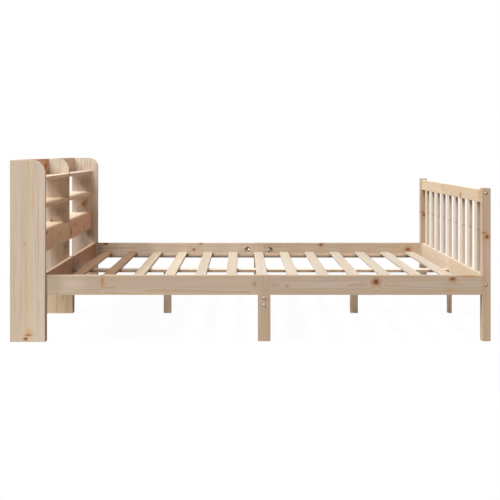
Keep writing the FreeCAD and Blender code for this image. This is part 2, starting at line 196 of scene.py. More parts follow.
# Places along the grain where pieces meet end to end, and the tints of those pieces
JOINTS = {
    "apron_left": [-0.475],
    "apron_right": [0.300],
    "back_board_left": [-0.350],
    "back_board_right": [0.420],
    "head_rail_left": [-0.322],
    "head_rail_right": [0.410],
    "slat_ledges": [0.0625],
    "foot_lower_rail": [-0.065, 0.450],
    "foot_top_rail": [-0.328, 0.140],
}
PIECE_TINTS = {
    "apron_left": [(0.98, 0.95, 1.0), WHITE],
    "foot_lower_rail": [(1.0, 0.99, 0.93), (1.02, 1.0, 1.04), (0.98, 0.98, 1.0)],
    "foot_top_rail": [(1.0, 0.98, 0.93), (0.98, 0.98, 0.98), (1.02, 1.0, 0.98)],
}

# Knots: place along the grain and across it, half length, half width, depth of colour
KNOTS = {
    "head_panel_left": [
        (0.0147, -1.0456, 0.0070, 0.0085, 1.0), (0.0323, -1.0335, 0.0035, 0.0150, 0.75),
        (0.453, -1.051, 0.004, 0.004, 0.5),
    ],
    "head_panel_middle": [(0.506, -1.086, 0.006, 0.005, 1.0)],
    "head_panel_right": [(0.551, -1.044, 0.012, 0.009, 0.7), (0.571, -1.026, 0.009, 0.006, 0.6)],
    "apron_left": [(-0.632, 0.489, 0.018, 0.010, 0.7)],
    "apron_right": [(0.060, 0.437, 0.017, 0.022, 1.0), (0.523, 0.412, 0.014, 0.026, 0.7)],
    "back_board_left": [(-0.080, 0.809, 0.020, 0.012, 0.8)],
    "side_rail_left_head": [
        (0.018, 0.268, 0.010, 0.014, 0.30), (-0.692, 0.282, 0.005, 0.022, 0.30),
        (-0.655, 0.249, 0.018, 0.004, 0.16),
    ],
    "side_rail_left_foot": [
        (0.170, 0.2565, 0.005, 0.005, 0.45), (0.5855, 0.2767, 0.0135, 0.0135, 1.0),
        (0.942, 0.290, 0.012, 0.0065, 0.95),
    ],
    "side_rail_right_head": [
        (-0.345, 0.267, 0.008, 0.007, 0.9), (-0.902, 0.303, 0.018, 0.007, 1.0),
        (-0.302, 0.303, 0.009, 0.005, 0.8),
    ],
    "side_rail_right_foot": [(0.455, 0.298, 0.011, 0.009, 0.9), (1.003, 0.267, 0.018, 0.011, 0.9)],
    "foot_post": [(0.487, 1.102, 0.0085, 0.0075, 1.0), (0.505, 1.090, 0.004, 0.011, 0.6)],
    "foot_lower_rail": [(-0.006, 0.234, 0.005, 0.004, 0.7), (-0.062, 0.280, 0.003, 0.010, 0.8)],
    "foot_top_rail": [(-0.328, 0.660, 0.016, 0.014, 0.75)],
}

# Soft patches: place along the grain and across it, half length, half width, tint.
# A patch over the whole width of its board is far wider than the board.
WHOLE_WIDTH = 9.0
PATCHES = {
    "head_panel_left": [
        (0.420, -1.036, 1.500, 0.050, YELLOW), (0.220, -1.032, 0.280, 0.005, PALE_ORANGE),
        (0.700, -1.012, 0.180, 0.010, PALE_ORANGE), (0.270, -1.046, 0.260, 0.003, PALE_ORANGE),
        (0.320, -1.019, 0.300, 0.003, PALE_ORANGE), (0.380, -0.985, 0.350, 0.004, GREY),
        (0.170, -1.067, 0.140, 0.014, PINK), (0.045, -1.030, 0.034, 0.022, ORANGE),
    ],
    "head_panel_middle": [
        # Painted sunlight on the crown, and painted shade in a bay
        (0.815, -1.050, 0.080, 0.500, PAINTED_SUNLIGHT), (0.560, -1.045, 0.045, 0.070, SLATE_SHADE),
        (0.320, -1.040, 0.080, 0.090, PALE_ORANGE), (0.340, -1.012, 0.060, 0.016, OLIVE),
    ],
    "head_panel_right": [
        # Painted sunlight on the crown, painted shade in the bays, and the apron's painted shadow just
        # below it
        (0.850, -1.050, 0.085, 0.500, PAINTED_SUNLIGHT), (0.695, -1.050, 0.055, 0.090, SLATE_SHADE),
        (0.372, -1.008, 0.050, 0.040, DARK), (0.558, -1.036, 0.035, 0.026, BROWN),
        (0.515, -1.060, 0.045, 0.060, SLATE_SHADE),
    ],
    "apron_left": [(-0.260, 0.455, 0.080, 0.015, BROWN), (-0.500, 0.430, 0.016, 0.050, OLIVE)],
    "apron_right": [(0.180, 0.470, 0.100, 0.020, BROWN)],
    "back_board_left": [(-0.090, 0.805, 0.070, 0.040, ORANGE)],
    # Painted shade near the middle panel, and a dark line along the glued joint
    "head_rail_left": [(-0.010, 0.260, 0.060, 0.080, DARK), (-0.340, 0.255, 0.016, 0.060, DARK)],
    # Painted shade on its lower part near the middle
    "head_rail_right": [(0.050, 0.235, 0.240, 0.085, SLAT_SHADE)],
    "side_rail_left_head": [
        (-0.940, 0.262, 0.230, 0.150, BRIGHT), (-0.810, 0.264, 0.085, 0.026, PALE_LILAC),
        (-0.350, 0.268, 0.400, 0.024, LILAC), (-0.690, 0.270, 0.030, 0.040, PALE_ORANGE),
        (-0.450, 0.225, 0.700, 0.014, YELLOW),
    ],
    "side_rail_left_foot": [
        (0.570, 0.276, 0.016, 0.016, BROWN), (0.629, 0.2955, 0.016, 0.005, GREY),
        (0.942, 0.284, 0.032, 0.020, ORANGE), (0.929, 0.239, 0.060, 0.016, PALE_ORANGE),
        (1.010, 0.304, 0.050, 0.009, ORANGE), (0.350, 0.275, 0.350, 0.026, LILAC),
        (0.800, 0.258, 0.200, 0.020, LILAC),
    ],
    # Painted shade at its end beside the far panel
    "side_rail_right_head": [(-0.940, 0.280, 0.035, 0.060, SLATE_SHADE)],
    # Painted highlights along the legs' two edges
    "mid_leg": [(0.262, 0.0316, 0.120, 0.0035, LEG_EDGE_HIGHLIGHT), (0.262, 0.0922, 0.120, 0.0042, PALE_EDGE_HIGHLIGHT)],
    "foot_post": [
        (0.487, 1.097, 0.016, 0.016, ORANGE), (0.250, 1.092, 0.300, 0.007, PALE_ORANGE),
        (0.390, 1.099, 0.100, WHOLE_WIDTH, PALE_LILAC),
    ],
    # Painted shade of the headboard over the beam's head end
    "centre_beam_head": [(-0.900, 0.0, 0.220, WHOLE_WIDTH, DARK)],
    "centre_beam_foot": [(1.050, 0.0, 0.120, WHOLE_WIDTH, BROWN)],
    "foot_lower_rail": [(-0.200, 0.235, 0.500, 0.040, PEARL)],
    "foot_top_rail": [(-0.770, 0.685, 0.110, 0.060, DEEP_ORANGE), (0.140, 0.680, 0.020, 0.040, BROWN)],
}

# The same for the narrow edges: painted shadow and light on them
UPRIGHT_EDGE_SHADING = [(0.110, -1.0, 0.250, WHOLE_WIDTH, EDGE_LOW_SHADOW), (0.530, -1.0, 0.380, WHOLE_WIDTH, EDGE_HIGH_LIGHT)]
EDGE_LIGHT_AND_SHADE = {
    "head_panel_left": UPRIGHT_EDGE_SHADING,
    "head_panel_middle": UPRIGHT_EDGE_SHADING + [(0.262, -1.0, 0.090, WHOLE_WIDTH, EDGE_DEEP_SHADE)],
    "head_panel_right": UPRIGHT_EDGE_SHADING,
    "head_middle_cleats": UPRIGHT_EDGE_SHADING,
    "balusters": [(0.660, 0.0, 0.060, WHOLE_WIDTH, BALUSTER_TOP_SHADOW)],
}
# Half length of each slat's painted shadow on the ledges and on the beam's sides
SLAT_SHADE_REACH = 0.055

# Balusters, each with a small knot on the edge that faces the left side
BALUSTER_COUNT = 9
BALUSTER_WIDTH = 0.056
BALUSTER_KNOT_HEIGHT = 0.510
BALUSTER_KNOT_SWING = 0.005
BALUSTER_KNOT_WAVES = 20
BALUSTER_KNOT_OFFSET = 0.026
BALUSTER_KNOT_SHAPE = (0.005, 0.006, 0.2)

# Numbers that tell the boards and their glued pieces apart in the noise
SEED_START = 1.3
SEED_STEP = 3.7
JOINT_STEP = 17.0
PIECE_SHIFT = (5.0, 7.0, 9.0)

# Rings about the log's middle
RING_SPACING = 0.0038
PITH_SPREAD = 0.13
PITH_DRIFT = 0.035
BEND_SIZE = 0.005
WAVER_SIZE = 0.004
SEAM_WIDTH = 0.0011

# Scales of the noises along the grain, across the face and through the board
DRIFT_SCALE = (0.9, 0.0, 0.0)
SWAY_SCALE = (1.7, 0.0, 3.0)
WAVER_SCALE = (5.0, 30.0, 30.0)
SLOW_SCALE = (1.2, 14.0, 14.0)
FIBRE_SCALE = (6.0, 420.0, 420.0)
STREAK_SCALE = (1.5, 130.0, 130.0)
BAND_SCALE = (0.8, 45.0, 45.0)
RAGGED_SCALE = (110.0, 220.0, 60.0)
UNEVEN_SCALE = (9.0, 60.0, 9.0)
COARSE_DETAIL = 1.0
FINE_DETAIL = 3.0
FIBRE_ROUGHNESS = 0.65

# How much the noises change the colour, and the outlines of knots and patches
FIBRE_CONTRAST = 0.16
STREAK_CONTRAST = 0.14
BAND_CONTRAST = 0.22
FAINT_FIGURE = 0.35
RAGGED_AMOUNT = 0.9
UNEVEN_AMOUNT = 0.8

# Small knots that lie about the wood, one to a cell
KNOT_CELLS = (2.6, 9.0, 0.0)
KNOT_CELL_SHIFT = (1.37, 2.11)
KNOT_STRETCH = 1.4
SMALL_KNOT_SIZES = (0.0002, 0.0065)
SMALL_KNOT_DEPTH = 0.9
NO_KNOTS = 9.0

# Where soft changes begin and end
LATE_FADE = (0.35, 0.97)
SLOW_FADE = (0.25, 0.75)
STREAK_FADE = (0.48, 0.80)
SMALL_HEART_FADE = (0.7, 1.25)
HEART_FADE = (0.6, 1.3)
CORE_FADE = (0.4, 1.05)
HALO_FADE = (0.8, 2.6)
BEND_FADE = (0.6, 4.0)
PATCH_FADE = (0.1, 1.0)
FACING_FADE = (0.6, 0.9)
SHEEN_FADE = (0.2, 0.8)

# Surface of the wood
WOOD_ROUGHNESS = (0.60, 0.74)
LATE_GLOSS = -0.10
LATE_RELIEF = -0.5
WOOD_BUMP = 0.35
WOOD_BUMP_DEPTH = 0.0004
WOOD_SPECULAR = 0.35

# Steel: colours, and where the painted shade on a bolt head's lower side lies
ZINC_DARK = (0.34, 0.33, 0.31)
ZINC_LIGHT = (0.62, 0.60, 0.56)
# Painted reflection: the dull, screw and button steels are warm brown, as if reflecting the wood round them
DULL_DARK = (0.30, 0.24, 0.18)
DULL_LIGHT = (0.42, 0.34, 0.27)
SCREW_DARK = (0.45, 0.38, 0.31)
SCREW_LIGHT = (0.63, 0.55, 0.46)
BUTTON_DARK = (0.36, 0.30, 0.24)
BUTTON_LIGHT = (0.66, 0.58, 0.50)
BUTTON_SHADE = (0.06, 0.045, 0.035)
SHADE_WAY = (0.6, 0.0, -0.8)
SHADE_FADE = (0.0, 0.25)
BRIGHT_FINISH = 0.30
SATIN_FINISH = 0.45
MATT_FINISH = 0.55
FINISH_SPREAD = 0.15
STEEL_SCALE = (900.0, 900.0, 900.0)
STEEL_BUMP = 0.15
STEEL_BUMP_DEPTH = 0.0002

# Fasteners: (radius, height) rings from the top of the head down to the tip
HEAD_SIDES = 32
SCREW_RINGS = [(0.0041, 0.0), (0.0045, -0.0003), (0.0022, -0.0035), (0.0022, -0.0590), (0.0006, -0.0600)]
BUTTON_RINGS = [
    (0.0040, 0.0022), (0.0052, 0.0019), (0.0064, 0.0012), (0.0072, 0.0002), (0.0072, 0.0),
    (0.0065, 0.0), (0.0065, -0.0060), (0.0035, -0.0060), (0.0035, -0.0900),
]
BOLT_RINGS = [(0.0060, 0.0), (0.0065, -0.0005), (0.0065, -0.0060), (0.0035, -0.0060), (0.0035, -0.0900)]
DOME_RADIUS = 0.0085
DOME_HEIGHT = 0.0039
DOME_STEPS = 7
DOME_SHANK_RADIUS = 0.0035
DOME_SHANK_LENGTH = 0.0939
CROSS_REACH = 0.0024
CROSS_WIDTH = 0.0006
CROSS_DEPTH = 0.0018
SOCKET_REACH = 0.0034
SOCKET_DEPTH = 0.0035
RECESS_TAPER = 0.75
SHARP_ANGLE = 35
MERGE_DISTANCE = 0.00001

# Camera
CAMERA_PLACE = (-0.036, -5.4775, 0.887)
CAMERA_LENS = 71.8
CAMERA_SENSOR = 36.0
CAMERA_SHIFT = (0.014, -0.198)
CAMERA_REACH = 100.0

# Parallel lights: the bearing they come from, between the head (0) and the near side (90),
# their height, both in degrees, their strength and their softness in degrees
SUNS = {
    "key": (15, 50, 2.73, 8),
    "head_low": (0, 38, 0.77, 20),
    "side_high": (75, 45, 1.25, 15),
    "side_low": (90, 30, 0.70, 20),
}

# Light from behind, on the headboard's side and on the footboard's
PALE_LIGHT = (1.0, 0.84, 0.71)
WARM_LIGHT = (1.0, 0.72, 0.53)
SKY_FOCUS = 2.0
SKY_STRENGTH = 1.25
SKY_LEAST = 0.02
SKY_FADE = (-0.6, 0.6)

# Floor
FLOOR_REACH = 30.0
FLOOR_BOUNCE = (0.30, 0.27, 0.24)
SHADOW_SHARE = 0.035
SHADOW_OVAL = (0.6, 0.8, 0.0)
SHADOW_FADE = (0.6, 1.6)


class Graph:
    """Adds shader nodes to a tree. Most calls return the new node's output socket."""

    def __init__(self, tree):
        self.tree = tree
        tree.nodes.clear()

    def node(self, kind, inputs, output=0, **settings):
        """A node with its settings and its inputs, each given as a socket or a value."""
        made = self.tree.nodes.new("ShaderNode" + kind)
        for name, value in settings.items():
            setattr(made, name, value)
        for key, value in inputs.items():
            if isinstance(value, bpy.types.NodeSocket):
                self.tree.links.new(value, made.inputs[key])
            else:
                made.inputs[key].default_value = value
        return made.outputs[output] if made.outputs else made

    def split(self, kind, value):
        """All the parts of a vector or a colour."""
        return self.node(kind, {0: value}).node.outputs

    def math(self, operation, *values):
        return self.node("Math", dict(enumerate(values)), operation=operation)

    def vector(self, operation, *values, output=0):
        return self.node("VectorMath", dict(enumerate(values)), output, operation=operation)

    def fade(self, value, low, high, start=0.0, end=1.0):
        """A smooth step: start up to low, end from high on."""
        inputs = {0: value, 1: low, 2: high, 3: start, 4: end}
        return self.node("MapRange", inputs, interpolation_type="SMOOTHSTEP")

    def mix(self, share, first, second):
        """A colour between two colours."""
        inputs = {0: share, 6: first, 7: second}
        return self.node("Mix", inputs, 2, data_type="RGBA")

    def tint(self, colour, factor):
        """A colour times another colour."""
        inputs = {0: 1.0, 6: colour, 7: factor}
        return self.node("Mix", inputs, 2, data_type="RGBA", blend_type="MULTIPLY")

    def noise(self, vector, scale, detail=2.0, roughness=0.5):
        """Noise from 0 to 1, with its own scale on each axis."""
        stretched = self.vector("MULTIPLY", vector, scale)
        inputs = {"Vector": stretched, "Scale": 1.0, "Detail": detail, "Roughness": roughness}
        return self.node("TexNoise", inputs)

    def spread(self, noise, amount, base):
        """The base, moved up or down by a share of noise."""
        return self.math("MULTIPLY_ADD", self.math("SUBTRACT", noise, 0.5), amount, base)

    def grey(self, value):
        """A grey colour from a number."""
        return self.node("CombineXYZ", {0: value, 1: value, 2: value})


def rgba(colour):
    return (*colour, 1.0)


def new_material(name):
    """An empty material and the graph of its nodes."""
    material = bpy.data.materials.new(name)
    material.use_nodes = True
    return material, Graph(material.node_tree)


def add_object(name, data):
    """A new object in the scene."""
    made = bpy.data.objects.new(name, data)
    bpy.context.scene.collection.objects.link(made)
    return made


def grain_space(graph, along, wide):
    """Place in the wood as (along the grain, across the face, through the board)."""
    place = graph.split("SeparateXYZ", graph.node("TexCoord", {}, "Object"))
    order = [along, wide] + [axis for axis in AXES if axis not in (along, wide)]
    parts = [place[AXES.index(axis)] for axis in order]
    return graph.node("CombineXYZ", dict(enumerate(parts))), parts


def pieces_of(graph, parts, board):
    """Number, tint and middle distance of the glued piece that a point is in, and the glue lines."""
    along, wide, _ = parts
    number = board["seed"]
    tints = [rgba(tint) for tint in board["tints"]]
    tint = tints.pop(0)
    edges = [board["wide_range"][0]] + board["strips"] + [board["wide_range"][1]]
    middles = [(low + high) / 2 for low, high in zip(edges, edges[1:])]
    local = graph.math("SUBTRACT", wide, middles[0])
    gap = 1.0
    for index, edge in enumerate(board["strips"]):
        past = graph.math("SUBTRACT", wide, edge)
        beyond = graph.math("GREATER_THAN", past, 0.0)
        local = graph.math("MULTIPLY_ADD", beyond, middles[index] - middles[index + 1], local)
        number = graph.math("ADD", number, beyond)
        gap = graph.math("MINIMUM", graph.math("ABSOLUTE", past), gap)
    for edge in board["joints"]:
        past = graph.math("SUBTRACT", along, edge)
        beyond = graph.math("GREATER_THAN", past, 0.0)
        number = graph.math("MULTIPLY_ADD", beyond, JOINT_STEP, number)
        tint = graph.mix(beyond, tint, tints.pop(0)) if tints else tint
        gap = graph.math("MINIMUM", graph.math("ABSOLUTE", past), gap)
    return number, tint, local, graph.fade(gap, 0.0, SEAM_WIDTH, board["seam"], 0.0)


def scattered_knots(graph, grain, board):
    """Distance from the nearest of the small knots that lie about the wood, in knot sizes."""
    cell_length, cell_width, _ = KNOT_CELLS
    shift_along, shift_wide = KNOT_CELL_SHIFT
    shift = (board["seed"] * shift_along, board["seed"] * shift_wide, 0.0)
    place = graph.vector("ADD", graph.vector("MULTIPLY", grain, KNOT_CELLS), shift)
    inputs = {"Vector": place, "Scale": 1.0}
    cell = graph.node("TexVoronoi", inputs, "Position", voronoi_dimensions="2D")
    offset = graph.vector("SUBTRACT", place, cell)
    offset = graph.vector("MULTIPLY", offset, (1 / cell_length / KNOT_STRETCH, 1 / cell_width, 0.0))
    away = graph.vector("LENGTH", offset, output=1)
    chance = graph.split("SeparateColor", cell.node.outputs["Color"])[0]
    size = graph.fade(chance, 1 - board["knottiness"], 1.0, *SMALL_KNOT_SIZES)
    return graph.math("DIVIDE", away, size)


def ellipse(graph, grain, along, wide, half_length, half_width):
    """Distance from a point of the face, 1 at the edge of an ellipse round it."""
    offset = graph.vector("SUBTRACT", grain, (along, wide, 0.0))
    offset = graph.vector("MULTIPLY", offset, (1 / half_length, 1 / half_width, 0.0))
    return graph.vector("LENGTH", offset, output=1)


def all_knots(graph, grain, board):
    """Distance from the nearest knot, smooth and ragged, and how strongly its heart and halo show."""
    ragged = graph.noise(grain, RAGGED_SCALE)
    ragged = graph.math("MULTIPLY", graph.math("SUBTRACT", ragged, 0.5), RAGGED_AMOUNT)
    nearest = scattered_knots(graph, grain, board) if board["knottiness"] else NO_KNOTS
    heart = graph.fade(graph.math("ADD", nearest, ragged), *SMALL_HEART_FADE, SMALL_KNOT_DEPTH, 0.0)
    halo = graph.fade(nearest, *HALO_FADE, 1.0, 0.0)
    for *place, depth in board["knots"]:
        away = ellipse(graph, grain, *place)
        shown = graph.fade(graph.math("ADD", away, ragged), *HEART_FADE, depth, 0.0)
        heart = graph.math("MAXIMUM", heart, shown)
        halo = graph.math("MAXIMUM", halo, graph.fade(away, *HALO_FADE, depth, 0.0))
        nearest = graph.math("MINIMUM", nearest, away)
    return nearest, graph.math("ADD", nearest, ragged), heart, halo


def patched(graph, grain, colour, patches):
    """The colour with soft patches of another tint."""
    uneven = graph.noise(grain, UNEVEN_SCALE)
    for *place, shade in patches:
        away = graph.spread(uneven, UNEVEN_AMOUNT, ellipse(graph, grain, *place))
        shown = graph.mix(graph.fade(away, *PATCH_FADE), rgba(shade), rgba(WHITE))
        colour = graph.tint(colour, shown)
    return colour


def pith_distance(graph, wood, parts, local, chances, board):
    """Distance from the pith of the log, which wanders along the board."""
    wander = PITH_DRIFT * board["drift"]
    drift = graph.noise(wood, DRIFT_SCALE, COARSE_DETAIL)
    sway = graph.noise(wood, SWAY_SCALE, COARSE_DETAIL)
    off_wide = graph.spread(chances[0], PITH_SPREAD / 2, local)
    off_wide = graph.spread(sway, wander, off_wide)
    off_thick = graph.math("SUBTRACT", parts[2], board["thick_middle"])
    off_thick = graph.spread(chances[1], PITH_SPREAD, off_thick)
    off_thick = graph.spread(drift, wander * 2, off_thick)
    cross = graph.node("CombineXYZ", {0: off_wide, 1: off_thick, 2: 0.0})
    waver = graph.noise(wood, WAVER_SCALE)
    return graph.math("MULTIPLY_ADD", waver, WAVER_SIZE, graph.vector("LENGTH", cross, output=1))


def late_wood(graph, from_pith, nearest_knot, slow, board):
    """How far a point lies in the dark part of a ring. The rings bend round the knots."""
    bend = graph.fade(nearest_knot, *BEND_FADE, 1.0, 0.0)
    bent = graph.math("MULTIPLY_ADD", bend, BEND_SIZE, from_pith)
    ring = graph.math("FRACT", graph.math("DIVIDE", bent, RING_SPACING))
    strength = graph.fade(slow, *SLOW_FADE, FAINT_FIGURE * board["figure"], board["figure"])
    return graph.math("MULTIPLY", graph.fade(ring, *LATE_FADE), strength)


def faced(graph, grain, colour, board):
    """The colour with the painted light and shade of the board's narrow edges, and the tint of its ends."""
    normal = graph.split("SeparateXYZ", graph.node("TexCoord", {}, "Normal"))
    ends = graph.tint(colour, rgba(board["end_tint"]))
    edges = patched(graph, grain, graph.tint(colour, rgba(board["painted_edge_tint"])), board["edge_patches"])
    for axis, shade in ((board["edge"], edges), (board["along"], ends)):
        facing = graph.math("ABSOLUTE", normal[AXES.index(axis)])
        colour = graph.mix(graph.fade(facing, *FACING_FADE), colour, shade)
    return colour


def pine(name, board):
    """Planed pine: rings about a wandering pith, fibres, knots, stains, painted light and shade, and glued
    pieces.
    """
    material, graph = new_material("pine_" + name)
    grain, parts = grain_space(graph, board["along"], board["wide"])
    number, tint, local, seam = pieces_of(graph, parts, board)

    # Each glued piece takes its own part of the noise
    white = graph.node("TexWhiteNoise", {"W": number}, 1, noise_dimensions="1D")
    chances = graph.split("SeparateColor", white)
    wood = graph.vector("ADD", grain, graph.vector("MULTIPLY", white, PIECE_SHIFT))

    # Patterns
    nearest, inside, heart, halo = all_knots(graph, grain, board)
    slow = graph.noise(wood, SLOW_SCALE)
    fibre = graph.noise(wood, FIBRE_SCALE, FINE_DETAIL, FIBRE_ROUGHNESS)
    streak = graph.noise(wood, STREAK_SCALE)
    band = graph.noise(wood, BAND_SCALE)
    from_pith = pith_distance(graph, wood, parts, local, chances, board)
    late = late_wood(graph, from_pith, nearest, slow, board)
    late = graph.math("MAXIMUM", late, graph.fade(streak, *STREAK_FADE, 0.0, board["streaks"]))

    # Colour
    level = graph.spread(fibre, FIBRE_CONTRAST, 1.0)
    level = graph.spread(streak, STREAK_CONTRAST, level)
    level = graph.spread(band, BAND_CONTRAST, level)
    level = graph.spread(chances[2], board["piece_contrast"], level)
    colour = graph.tint(graph.mix(late, rgba(EARLY_WOOD), rgba(LATE_WOOD)), graph.grey(level))
    warmth = graph.mix(graph.math("MULTIPLY", slow, chances[0]), rgba(WHITE), rgba(WARM_WOOD))
    colour = patched(graph, grain, graph.tint(graph.tint(colour, warmth), tint), board["patches"])
    colour = graph.tint(colour, graph.mix(halo, rgba(WHITE), rgba(KNOT_HALO)))
    knot = graph.mix(graph.fade(inside, *CORE_FADE), rgba(KNOT_CORE), rgba(KNOT_RIM))
    colour = graph.mix(seam, graph.mix(heart, colour, knot), rgba(SEAM_COLOUR))
    colour = faced(graph, grain, graph.tint(colour, rgba(board["tone"])), board)

    # Surface
    relief = graph.math("MULTIPLY_ADD", late, LATE_RELIEF, fibre)
    bump = graph.node("Bump", {"Strength": WOOD_BUMP, "Distance": WOOD_BUMP_DEPTH, "Height": relief})
    matt = graph.fade(fibre, *SHEEN_FADE, *WOOD_ROUGHNESS)
    surface = graph.node("BsdfPrincipled", {
        "Base Color": colour, "Roughness": graph.math("MULTIPLY_ADD", late, LATE_GLOSS, matt),
        "Normal": bump, "Specular IOR Level": WOOD_SPECULAR,
    })
    graph.node("OutputMaterial", {"Surface": surface})
    return material


def steel(name, dark, light, roughness, shade=None):
    """Plated steel with a fine uneven sheen between two colours, and a painted shade on its lower side."""
    material, graph = new_material(name)
    cloud = graph.noise(graph.node("TexCoord", {}, "Object"), STEEL_SCALE, FINE_DETAIL)
    colour = graph.mix(cloud, rgba(dark), rgba(light))
    # Painted shade: faces that look down and towards the foot take the dark colour, as a bolt head's
    # shadowed side
    if shade:
        normal = graph.node("TexCoord", {}, "Normal")
        lower = graph.vector("DOT_PRODUCT", normal, SHADE_WAY, output=1)
        colour = graph.mix(graph.fade(lower, *SHADE_FADE), colour, rgba(shade))
    bump = graph.node("Bump", {"Strength": STEEL_BUMP, "Distance": STEEL_BUMP_DEPTH, "Height": cloud})
    surface = graph.node("BsdfPrincipled", {
        "Base Color": colour, "Metallic": 1.0, "Normal": bump,
        "Roughness": graph.fade(cloud, *SHEEN_FADE, roughness, roughness + FINISH_SPREAD),
    })
    graph.node("OutputMaterial", {"Surface": surface})
    return material


def separate_boxes(name):
    """Lowest and highest corner of each separate solid of a node."""
    mesh = bmesh.new()
    mesh.from_mesh(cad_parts[name].data)
    bmesh.ops.remove_doubles(mesh, verts=mesh.verts, dist=MERGE_DISTANCE)
    left = set(mesh.verts)
    boxes = []
    while left:
        found = [left.pop()]
        for vert in found:
            for edge in vert.link_edges:
                other = edge.other_vert(vert)
                if other in left:
                    left.remove(other)
                    found.append(other)
        low = Vector([min(vert.co[axis] for vert in found) for axis in range(3)])
        high = Vector([max(vert.co[axis] for vert in found) for axis in range(3)])
        boxes.append((low, high))
    mesh.free()
    return boxes


def head_place(low, high):
    """Place of the top of a fastener's head, which looks away from the middle of the bed."""
    size = high - low
    axis = max(range(3), key=lambda index: size[index])
    top = (low + high) / 2
    way = Vector((0.0, 0.0, 0.0))
    way[axis] = math.copysign(1.0, top[axis])
    top[axis] += way[axis] * size[axis] / 2
    return Matrix.Translation(top) @ way.to_track_quat("Z", "Y").to_matrix().to_4x4()


def loop(mesh, place, points):
    return [mesh.verts.new(place @ Vector(point)) for point in points]


def round_loop(mesh, place, radius, height):
    turns = [2 * math.pi * step / HEAD_SIDES for step in range(HEAD_SIDES)]
    return loop(mesh, place, [(radius * math.cos(turn), radius * math.sin(turn), height) for turn in turns])


def bridge(mesh, upper, lower):
    """Four-sided faces between two loops of the same length."""
    for index, vert in enumerate(upper):
        following = (index + 1) % len(upper)
        mesh.faces.new((vert, lower[index], lower[following], upper[following]))


def loop_edges(mesh, ends):
    """The edges round a loop."""
    return [mesh.edges.get((ends[index - 1], ends[index])) for index in range(len(ends))]


def add_fastener(mesh, place, rings, recess, depth):
    """A turned fastener. Its flat top has a recess with the given outline, or is closed without one."""
    loops = [round_loop(mesh, place, radius, height) for radius, height in rings]
    for upper, lower in zip(loops, loops[1:]):
        bridge(mesh, upper, lower)
    mesh.faces.new(reversed(loops[-1]))
    if not recess:
        mesh.faces.new(loops[0])
        return
    top = rings[0][1]
    mouth = loop(mesh, place, [(x, y, top) for x, y in recess])
    floor = loop(mesh, place, [(x * RECESS_TAPER, y * RECESS_TAPER, top - depth) for x, y in recess])
    bridge(mesh, floor, mouth)
    mesh.faces.new(floor)
    rims = loop_edges(mesh, loops[0]) + loop_edges(mesh, mouth)
    bmesh.ops.triangle_fill(mesh, edges=rims, use_beauty=True)


def cross_outline():
    """Outline of a cross recess."""
    reach, width = CROSS_REACH, CROSS_WIDTH
    corner = [(reach, -width), (reach, width), (width, width)]
    outline = []
    for _ in range(4):
        outline += corner
        corner = [(-y, x) for x, y in corner]
    return outline


def socket_outline():
    """Outline of a hexagon socket."""
    turns = [math.pi * step / 3 for step in range(6)]
    return [(SOCKET_REACH * math.cos(turn), SOCKET_REACH * math.sin(turn)) for turn in turns]


def dome_rings():
    """Rings of a low domed head and its shank."""
    turns = [math.pi / 2 * (step + 0.5) / DOME_STEPS for step in reversed(range(DOME_STEPS))]
    rings = [(DOME_RADIUS * math.cos(turn), DOME_HEIGHT * (math.sin(turn) - 1)) for turn in turns]
    shank = [(DOME_SHANK_RADIUS, -DOME_HEIGHT), (DOME_SHANK_RADIUS, -DOME_SHANK_LENGTH)]
    return rings + [(DOME_RADIUS, -DOME_HEIGHT)] + shank


def fastener_mesh(name, rings, recess, depth):
    """The fine fasteners of a node as one mesh, smooth but for its sharp edges."""
    mesh = bmesh.new()
    for low, high in separate_boxes(name):
        add_fastener(mesh, head_place(low, high), rings, recess, depth)
    bmesh.ops.recalc_face_normals(mesh, faces=mesh.faces)
    for face in mesh.faces:
        face.smooth = True
    for edge in mesh.edges:
        edge.smooth = edge.calc_face_angle(0.0) < math.radians(SHARP_ANGLE)
    data = bpy.data.meshes.new("fine_" + name)
    mesh.to_mesh(data)
    mesh.free()
    return data


def add_fasteners(zinc):
    """Fine screws and bolts in place of the plain ones."""
    dull = steel("dull_zinc", DULL_DARK, DULL_LIGHT, SATIN_FINISH)
    pale = steel("pale_zinc", SCREW_DARK, SCREW_LIGHT, MATT_FINISH)
    button = steel("button_zinc", BUTTON_DARK, BUTTON_LIGHT, BRIGHT_FINISH, BUTTON_SHADE)
    kinds = {
        "panel_screws": (SCREW_RINGS, cross_outline(), CROSS_DEPTH, pale),
        "foot_rail_bolts": (BUTTON_RINGS, socket_outline(), SOCKET_DEPTH, button),
        "side_rail_bolts": (BOLT_RINGS, socket_outline(), SOCKET_DEPTH, zinc),
        "crossbar_bolts": (dome_rings(), [], 0.0, dull),
    }
    for name, (rings, recess, depth, material) in kinds.items():
        data = fastener_mesh(name, rings, recess, depth)
        data.materials.append(material)
        piece = add_object("fine_" + name, data)
        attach(piece, "root")
        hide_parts(name)


def listed(table, name, default=()):
    """What a table says of a node or of its family."""
    for family, entries in table.items():
        if name.startswith(family):
            return list(entries)
    return list(default)


